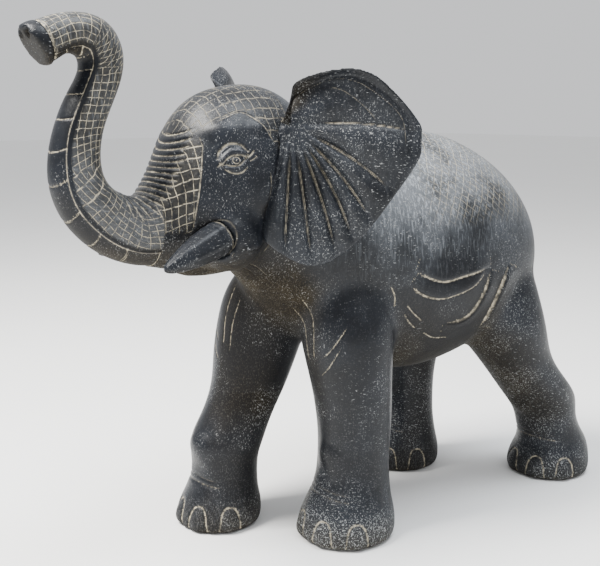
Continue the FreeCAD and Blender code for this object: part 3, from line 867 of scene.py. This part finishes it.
def close_ends(mesh):
    """Fills the open ends with flat faces, and keeps their rims sharp."""
    work = bmesh.new()
    work.from_mesh(mesh)
    rims = [e for e in work.edges if e.is_boundary]
    caps = bmesh.ops.holes_fill(work, edges=rims, sides=0)["faces"]
    for face in work.faces:
        face.smooth = True
    for edge in {e for face in caps for e in face.edges}:
        edge.smooth = False
    bmesh.ops.triangulate(work, faces=caps)
    work.to_mesh(mesh)
    work.free()


pieces = {}
for name in CARVED:
    part = min(parts, key=lambda mesh: (middle_of_mesh(mesh) - middle_of_box(name)).length)
    gap = (middle_of_mesh(part) - middle_of_box(name)).length
    assert gap < FAR_APART, f"{name} has no part of the skin"
    parts.remove(part)
    close_ends(part)
    pieces[name] = placed(name + "_carved", part)
    print(name, len(part.polygons), "faces,", round(gap / MM, 1), "mm from its block's middle")
assert not parts, "a part of the skin stands for no block"

# %% [markdown]
# ## Ears
# An ear is a thin board doweled to the head. Flutes run out over it from the ear hole like the ribs of
# a shell, and the top of its rim is rolled and curls forward. Each ear starts as a fine skin over its
# packed board. Every point is then given an angle round the ear hole and a share of the way out to the
# rim, and the flutes, the rim and the curl are sums of those two.

# %% Carve an ear
EAR_SKIN = 1.1 * MM
EAR_HOLE = (0.26, 0.71)         # shares back along the ear's box and up it
FLUTES = [-64, -3, 27, 44, 56, 67, 80, 93, 108]     # degrees below level, from the top of the fan down
FLUTE_DEPTH = 5.4 * MM
FLUTES_FADE = 40        # degrees over which the flutes begin at the top
CURL = 14 * MM          # how far the top of the rim curls forward
ALL_ROUND = np.arange(-180, 180)


def ear_map(points, hole, out):
    """Angle below level and distance from the ear hole, in the plane of the ear."""
    offset = points - hole
    back, down = offset @ out, -offset[:, 2]
    return np.degrees(np.arctan2(down, back)), np.hypot(back, down)


def rim_distance(angle, away):
    """How far out the rim is, at each whole degree round the ear hole."""
    rim = np.array([away[abs((angle - a + 180) % 360 - 180) < 3].max(initial=0) for a in ALL_ROUND])
    return even(rim, "wrap")


def carved_ear(side, hand):
    node = "ear_" + hand
    mesh = remeshed([node], EAR_SKIN)
    smooth(mesh, 3)
    low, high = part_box(node)
    skin = Skin(mesh)
    outer = high.x if side == LEFT else low.x
    inner = low.x if side == LEFT else high.x
    out = np.array((outer - inner, high.y - low.y, 0.0))
    out /= np.linalg.norm(out)
    face = np.array((side * out[1], -side * out[0], 0.0))
    hole = np.array((inner, low.y, low.z + (high.z - low.z) * EAR_HOLE[1]))
    hole += out * (high.y - low.y) * EAR_HOLE[0]
    angle, away = ear_map(skin.points, hole, out)
    rim = np.interp(angle, ALL_ROUND, rim_distance(angle, away), period=360)
    share = away / rim.clip(1 * MM)
    inside = (1 - share) * rim      # how far in from the rim
    front = ramp(skin.normals @ face - 0.1, 0.3)
    for _ in range(4):
        front = spread(front, pairs_of(mesh))
    bend = angle - 13 * (share - 0.55) * between(angle, -30, 75, 30)
    which = np.searchsorted(FLUTES, bend).clip(1, len(FLUTES) - 1)
    start, stop = np.array(FLUTES)[which - 1], np.array(FLUTES)[which]
    t = ((bend - start) / (stop - start)).clip(0, 1)
    fluted = ramp(bend - FLUTES[0], FLUTES_FADE) * ramp(FLUTES[-1] - bend, 3)
    fluted *= between(share, 0.20, 0.90, 0.22)
    lobe = np.sin(np.pi * t ** 0.8)
    to_cut = np.where(which == 1, 1 - t, np.minimum(t, 1 - t))
    gap = to_cut * np.radians(stop - start) * away
    cut = ridge(gap, SHARP)
    skin.lift += front * fluted * (FLUTE_DEPTH * (lobe - 0.5) - 0.9 * MM * cut)
    skin.rub(front * fluted * ridge(gap - 0.6 * MM, 0.7 * MM) * 0.6)
    upper = between(angle, -150, 12, 16)
    channel = ridge(inside - 9 * MM, 4.5 * MM)
    skin.lift += front * upper * (2.0 * MM * ridge(inside, 3.0 * MM) - 2.6 * MM * channel)
    vein = front * between(angle, -50, -2, 12) * ridge((share - 0.66) * rim, 0.9 * MM)
    skin.lift -= 0.7 * MM * vein
    skin.rub(0.5 * vein)
    skin.rub(0.5 * front * upper * ridge(inside - 14.5 * MM, 0.8 * MM))
    # Painted highlight: a cream line along the top edge of the rolled rim, where light catches it.
    skin.rub(0.6 * ridge(inside, 1.2 * MM) * upper)
    skin.brown = 0.75 * front * between(angle, -150, -62, 20) * between(share, 0.35, 0.95, 0.2)
    skin.dust_and_sheen = 0.05 * front * between(angle, -40, 110, 20)
    skin.worn_and_highlight += 0.20 * front
    d_low, d_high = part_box(node + "_dowels")
    dowel = ((d_low.x + d_high.x) / 2, (d_low.y + d_high.y) / 2 + 5 * MM, d_high.z - 3 * MM)
    skin.bump(dowel, (16 * MM, 18 * MM, 13 * MM), 4.5 * MM)
    skin.lift += 0.9 * MM * ridge(inside, 3.5 * MM) * between(angle, -160, -20, 20)
    curl = CURL * ramp(share - 0.70, 0.30) ** 1.5 * between(angle, -128, -28, 40)
    move_to(mesh, (skin.carved() + face * curl[:, None]).clip(np.array(low), np.array(high)))
    smooth(mesh, 2, 1 - 0.8 * between(share, 0.25, 0.86, 0.1))
    write_masks(mesh, skin)
    pieces[node] = placed(node + "_carved", mesh)
    print(node, len(mesh.polygons), "faces, ear hole at", (hole / MM).round(), "mm")


for side, hand in SIDES:
    carved_ear(side, hand)

# %% [markdown]
# ## Tusks and tail
# The tusks are short cones cut with a flat gouge, so their sides are slightly faceted. The tail hangs
# against the rump and ends in a tuft with a few deep cuts. Both are packed as plain turned shapes, so
# they get a skin and are carved the same way as the ears.

# %% Carve the tusks and the tail
SMALL_SKIN = 1.2 * MM


def finished(node, skin):
    """Moves a small skin to its carved points and keeps it as the piece that stands for a block."""
    move_to(skin.mesh, skin.carved())
    write_masks(skin.mesh, skin)
    pieces[node] = placed(node + "_carved", skin.mesh)
    print(node, len(skin.mesh.polygons), "faces")


def carved_tusk(hand):
    node = "tusk_" + hand
    mesh = remeshed([node], SMALL_SKIN)
    smooth(mesh, 2)
    skin = Skin(mesh)
    shoulder, way, _ = tusk_axis(node)
    offset = skin.points - shoulder
    along = offset @ way
    across = offset - np.outer(along, way)
    turn = np.arctan2(across[:, 2], across[:, 0])
    shown = ramp(along, 5 * MM)
    facets = np.cos(7 * turn + 18 * along) + 0.7 * np.cos(3 * turn - 60 * along + 1.2)
    skin.lift += shown * 0.35 * MM * facets
    skin.lift -= shown * 0.5 * MM * ridge(along - 9 * MM + 2 * MM * np.sin(2 * turn), 1.6 * MM)
    skin.wax = 0.5 * ridge(along - 2 * MM, 1.6 * MM)
    # Painted shade: the tusk's faces that look down are made browner and darker.
    skin.brown = 0.4 * np.clip(-skin.normals[:, 2], 0, 1)
    finished(node, skin)


def carved_tail():
    mesh = remeshed(["tail"], SMALL_SKIN)
    smooth(mesh, 3)
    skin = Skin(mesh)
    low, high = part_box("tail")
    height = (skin.points[:, 2] - low.z) / (high.z - low.z)
    turn = np.arctan2(skin.points[:, 0], skin.points[:, 1] - (low.y * 0.3 + high.y * 0.7))
    tuft = ramp(0.30 - height, 0.05)
    hairs = np.abs(np.sin(4 * turn + 3 * np.sin(9 * height)))
    skin.lift += tuft * (0.9 * MM * hairs - 0.5 * MM)
    rings = ridge((height * 22) % 1 - 0.5, 0.14) * (1 - tuft) * ramp(0.92 - height, 0.05)
    skin.lift -= 0.4 * MM * rings
    skin.wax = np.maximum(0.7 * rings, tuft * (1 - hairs) ** 2)
    finished("tail", skin)


for _, hand in SIDES:
    carved_tusk(hand)
carved_tail()

# %% [markdown]
# ## Writing a finish as sums
# A finish is arithmetic on masks, and arithmetic is easiest to read as expressions. This small class
# wraps a socket, so that `wax * 0.6 + speck` adds the Math nodes by itself. The colours don't go
# through it: they are mixed by a Mix node, because a Math node would turn them grey.

# %% Sockets that can be added and multiplied
class Value:
    """A number that varies over the surface: one output socket of a material."""

    def __init__(self, finish, socket):
        self.finish, self.socket = finish, socket

    def math(self, operation, *others):
        return self.finish.node("Math", {"operation": operation}, dict(enumerate((self, *others))))

    def __add__(self, other):
        return self.math("ADD", other)

    def __sub__(self, other):
        return self.math("SUBTRACT", other)

    def __mul__(self, other):
        return self.math("MULTIPLY", other)

    __radd__, __rmul__ = __add__, __mul__

    def clamp(self):
        return self.finish.node("Clamp", {}, {"Value": self})

    def step(self, low, high):
        """0 below low, 1 above high, and smooth between."""
        return self.finish.node("MapRange", {"interpolation_type": "SMOOTHSTEP"},
                                {"Value": self, "From Min": low, "From Max": high})

    def line(self, half_width):
        """1 where this phase is near a whole number, for lines that are cut at every step of it."""
        away = (self.math("FRACT") - 0.5).math("ABSOLUTE")
        return away.step(0.5 - half_width, 0.5 - half_width * 0.35)


class Finish:
    """A material being made, with one method that adds any node."""

    def __init__(self, name):
        self.material = bpy.data.materials.new(name)
        self.material.use_nodes = True
        self.nodes, self.links = self.material.node_tree.nodes, self.material.node_tree.links
        self.shader = self.nodes["Principled BSDF"]

    def fill(self, node, sockets):
        for key, value in sockets.items():
            if isinstance(value, Value):
                self.links.new(value.socket, node.inputs[key])
            else:
                node.inputs[key].default_value = value

    def node(self, kind, settings, sockets, output=0):
        """Adds a node: its settings first, then its sockets' values or links."""
        made = self.nodes.new("ShaderNode" + kind)
        for key, value in settings.items():
            setattr(made, key, value)
        self.fill(made, sockets)
        return Value(self, made.outputs[output])

    def noise(self, place, scale, detail=2.0, rough=0.5):
        return self.node("TexNoise", {}, {"Vector": place, "Scale": scale, "Detail": detail,
                                                    "Roughness": rough})

    def mix(self, factor, first, second):
        """A colour that goes from first to second."""
        return self.node("Mix", {"data_type": "RGBA"}, {0: factor, 6: first, 7: second}, 2)

    def masks(self, name):
        """The three masks of one stored layer."""
        layer = self.node("Attribute", {"attribute_name": name}, {}, 1)
        parts = self.node("SeparateXYZ", {}, {0: layer}).socket.node.outputs
        return [Value(self, parts[i]) for i in range(3)]

    def stretched(self, place, scale):
        return self.node("Mapping", {}, {"Vector": place, "Scale": scale})


print("finish helpers ready")

# %% [markdown]
# ## Stain, wax and polish
# The wood is stained a blue-black. White wax is rubbed in and wiped off: it stays in the cuts, in the
# pores of the wood and in small nicks, and leaves a grey bloom where the wiping was lazy. The same
# blue-grey wash, on the faces that look up, is also a painted sheen, and on the shoulders a painted
# highlight. Where the stain is thin the wood shows through olive brown; the same brown, darker, is
# painted shade on faces that look down and on the chest. Last comes a soft polish, which the wax dulls.
# The pores are noise with a threshold, in patches, because the wood is more open in some places.

# %% Carved wood
BLACK, SLATE = (0.0028, 0.0033, 0.0046, 1), (0.013, 0.0155, 0.021, 1)
# The first colour on the next line, the darker brown, is also the painted shade on faces that look down and
# on the chest.
SHADED_BROWN, OCHRE = (0.0055, 0.0042, 0.0028, 1), (0.045, 0.034, 0.017, 1)
# The first colour on the next line is the grey of the wax bloom and also of a painted sheen on faces that
# look up.
BLOOM_AND_SHEEN, CREAM, CHALK = (0.25, 0.27, 0.295, 1), (0.52, 0.46, 0.34, 1), (0.42, 0.43, 0.43, 1)


def carved_wood(name, grain=(1, 1, 0.12)):
    """The finish of the carving. grain says how much the pores are drawn out along x, y and z."""
    made = Finish(name)
    place = made.node("TexCoord", {}, {}, 3)
    phase_a, phase_b, wax = made.masks("lines")
    cut_a, cut_b, brown = made.masks("cuts")
    dust_and_sheen, worn_and_highlight, _ = made.masks("tone")
    patches = made.noise(place, 17.0, 4.0, 0.6)
    broad = made.noise(place, 7.0, 3.0)
    drawn = made.stretched(place, grain)
    fibre = made.noise(drawn, 520.0, 3.0, 0.6)
    pores = made.noise(made.stretched(place, (1, 1, 0.6)), 900.0, 3.0, 0.65)
    nicks = made.noise(made.stretched(place, (0.35, 0.35, 1)), 900.0, 2.0, 0.6)
    shake = (made.noise(place, 55.0, 2.0) - 0.5) * 0.7
    ragged = made.noise(place, 210.0, 3.0, 0.6).step(0.36, 0.56)
    lines = ((phase_a + shake).line(0.065) * cut_a).math("MAXIMUM", (phase_b + shake).line(0.075) * cut_b)
    lines = lines * (ragged * 0.80 + 0.12)
    open_wood = patches.step(0.46, 0.60)
    spots = (pores + worn_and_highlight * 0.05).step(0.61, 0.71) * (open_wood * 0.85 + worn_and_highlight * 0.16)
    dots = (nicks + worn_and_highlight * 0.04).step(0.65, 0.73) * (broad.step(0.46, 0.60) * 0.80 + 0.06)
    streaks = fibre.step(0.50, 0.66) * dust_and_sheen
    seen_wax = (wax.step(0.25, 0.85) * (ragged * 0.75 + 0.20)).clamp()
    # Painted shade: where the brown mask is high, the next lines take slate out of the stain and mix in the
    # darker brown, so faces that look down and the chest turn darker as well as browner.
    faded = (patches.step(0.30, 0.72) * 0.75 + fibre * 0.2) * (brown * -0.8 + 1.0).clamp()
    stain = made.mix(faded, BLACK, SLATE)
    bare = made.mix(pores.step(0.45, 0.65) * 0.55 + open_wood * 0.25, SHADED_BROWN, OCHRE)
    thin_stain_and_shade = (brown * (broad.step(0.30, 0.62) * 0.7 + 0.35)).clamp()
    wood = made.mix(thin_stain_and_shade, stain, bare)
    # Painted sheen and highlight: besides the wax bloom, this wash lays a blue-grey sheen on faces that
    # look up and a highlight on the shoulders.
    wiped_and_sheen = dust_and_sheen * (patches.step(0.35, 0.6) * 0.32 + 0.10) + streaks * 0.55
    bloomed_and_sheened = made.mix(wiped_and_sheen.clamp(), wood, BLOOM_AND_SHEEN)
    netted = (cut_a.math("MAXIMUM", cut_b) * (ragged * 0.03 + 0.01)).clamp()
    rubbed = made.mix(netted, bloomed_and_sheened, CREAM)
    white = spots.math("MAXIMUM", dots).clamp()
    speckled = made.mix(white * 0.70, rubbed, CHALK)
    filled = made.mix((lines.math("MAXIMUM", seen_wax) * 0.85).clamp(), speckled, CREAM)
    matt = (white * 0.5 + lines + seen_wax + wiped_and_sheen * 0.6).clamp()
    height = fibre * 0.12 + pores * 0.14 - lines * 0.9 - white * 0.25 + made.noise(place, 95.0, 2.0) * 0.6
    bump = made.node("Bump", {}, {"Strength": 0.9, "Distance": 0.0008, "Height": height})
    roughness = (brown * 0.40 + patches * 0.16 + matt * 0.40 + 0.28).clamp()
    made.fill(made.shader, {"Base Color": filled, "Roughness": roughness, "Normal": bump,
                            "Specular IOR Level": 0.2})
    return made.material


UPRIGHT = carved_wood("carved wood, upright grain")
LENGTHWISE = carved_wood("carved wood, grain along the body", (1, 0.16, 1))
LYING = ["tusk_left", "tusk_right", "trunk_root"]
for node, piece in pieces.items():
    mesh = piece.data
    mesh.materials.clear()
    mesh.materials.append(LENGTHWISE if node in LYING else UPRIGHT)
    mesh.polygons.foreach_set("use_smooth", [True] * len(mesh.polygons))
    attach(piece, "root")
    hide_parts(node)
print("finished pieces:", len(pieces))

# %% [markdown]
# ## Dowels
# The dowels are plain birch, hidden inside the glue joints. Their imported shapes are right, so they
# stay, and only get a pale wood with its grain along the dowel.

# %% Dowel wood
PALE_BIRCH, DARK_BIRCH = (0.66, 0.50, 0.30, 1), (0.45, 0.31, 0.16, 1)


def dowel_wood():
    made = Finish("dowel wood")
    place = made.node("TexCoord", {}, {}, 3)
    rings = made.noise(made.stretched(place, (1, 0.2, 0.2)), 900.0, 4.0, 0.6)
    tone = made.noise(place, 90.0, 2.0)
    colour = made.mix(rings.step(0.35, 0.7) * 0.6 + tone * 0.3, PALE_BIRCH, DARK_BIRCH)
    bump = made.node("Bump", {}, {"Strength": 0.4, "Distance": 0.0003, "Height": rings})
    made.fill(made.shader, {"Base Color": colour, "Roughness": 0.55 + rings * 0.2, "Normal": bump})
    return made.material


DOWEL_WOOD = dowel_wood()
dowels = [o for name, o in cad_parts.items() if name.endswith("dowels")]
for dowel in dowels:
    dowel.data.materials.clear()
    dowel.data.materials.append(DOWEL_WOOD)
print("dowel pieces:", len(dowels))

# %% [markdown]
# ## Floor, light and camera
# A pale floor that runs out of sight, and three large soft lamps: the key, in front and above, a very
# weak one on the camera's side, and one overhead that lays a sheen on the back.

# %% Floor
def floor_finish():
    made = Finish("pale floor")
    place = made.node("TexCoord", {}, {}, 3)
    tone = made.noise(place, 1.5, 2.0)
    made.fill(made.shader, {"Base Color": made.mix(tone, (0.90, 0.90, 0.89, 1), (0.93, 0.93, 0.92, 1)),
                            "Roughness": 0.7 + tone * 0.1})
    return made.material


FLOOR_REACH = 12.0      # m

mesh = bpy.data.meshes.new("floor")
corners = [(x * FLOOR_REACH, y * FLOOR_REACH, 0) for x, y in ((-1, -1), (1, -1), (1, 1), (-1, 1))]
mesh.from_pydata(corners, [], [(0, 1, 2, 3)])
mesh.materials.append(floor_finish())
floor = placed("floor", mesh)

# %% Lamps and surrounding light
CENTRE = (CAD_BOX[0] + CAD_BOX[1]) / 2


def soft_lamp(name, azimuth, elevation, distance, size, power, colour):
    """A square lamp that looks at the elephant's middle. Azimuth 0 is in front of it, towards -y."""
    a, e = math.radians(azimuth), math.radians(elevation)
    way = Vector((math.sin(a) * math.cos(e), -math.cos(a) * math.cos(e), math.sin(e)))
    lamp = bpy.data.lights.new(name, "AREA")
    lamp.shape, lamp.size, lamp.energy, lamp.color = "SQUARE", size, power, colour
    holder = placed(name, lamp)
    holder.location = CENTRE + way * distance
    holder.rotation_euler = way.to_track_quat("Z", "Y").to_euler()


soft_lamp("key", -16, 56, 1.7, 0.70, 100, (1.0, 0.98, 0.94))
soft_lamp("side", 95, 30, 2.0, 0.9, 3, (0.97, 0.98, 1.0))
soft_lamp("overhead", 110, 74, 1.7, 0.8, 34, (0.90, 0.95, 1.0))
world = bpy.data.worlds.new("studio")
world.use_nodes = True
sky = world.node_tree.nodes["Background"].inputs
sky["Color"].default_value, sky["Strength"].default_value = (0.97, 0.98, 1.0, 1), 0.9
bpy.context.scene.world = world
print("lamps aim at", [round(v, 3) for v in CENTRE])

# %% Camera
CAMERA_PLACE = (0.723, -0.595, 0.409)
CAMERA_TURN = (math.radians(79.68), 0, math.radians(52.75))
LENS, SENSOR = 57, 36       # mm

lens = bpy.data.cameras.new("camera")
lens.lens, lens.sensor_width = LENS, SENSOR
camera = placed("camera", lens)
camera.location, camera.rotation_euler = CAMERA_PLACE, CAMERA_TURN
bpy.context.scene.camera = camera
